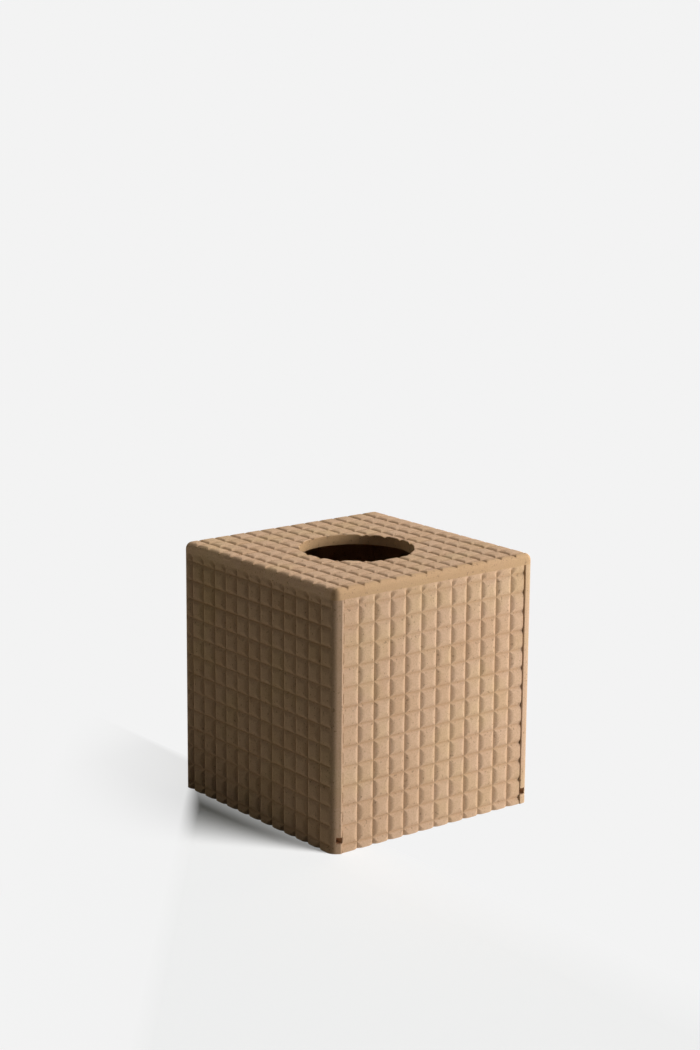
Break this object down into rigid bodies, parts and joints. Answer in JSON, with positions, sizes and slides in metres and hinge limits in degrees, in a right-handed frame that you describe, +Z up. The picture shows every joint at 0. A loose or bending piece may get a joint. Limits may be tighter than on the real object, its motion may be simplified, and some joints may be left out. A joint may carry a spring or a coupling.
{
  "type": "tissue box cover",
  "caption": "Cube-shaped wooden cover for a box of tissues, carved with crossing grooves, with a round opening on top and a base board that slides out at the back.",
  "frame": {"origin": "middle of the foot, on the surface that the cover stands on", "axes": "+X across the front to the right, +Y from the front wall to the back wall, +Z up"},
  "size_m": [0.13, 0.13, 0.1355],
  "materials": {
    "carved_wood": "fine-grained, matt, tan brown",
    "base_wood": "fine-grained, matt, plain"
  },
  "bodies": {
    "cover": {"top_panel": "carved_wood", "left_side_panel": "carved_wood", "right_side_panel": "carved_wood", "front_panel": "carved_wood", "back_panel": "carved_wood"},
    "base": {"base_panel": "base_wood"}
  },
  "joints": [
    {"name": "base_slide", "type": "slide", "parent": "cover", "child": "base", "axis": [0, 1, 0], "range_m": [0, 0.12]}
  ]
}
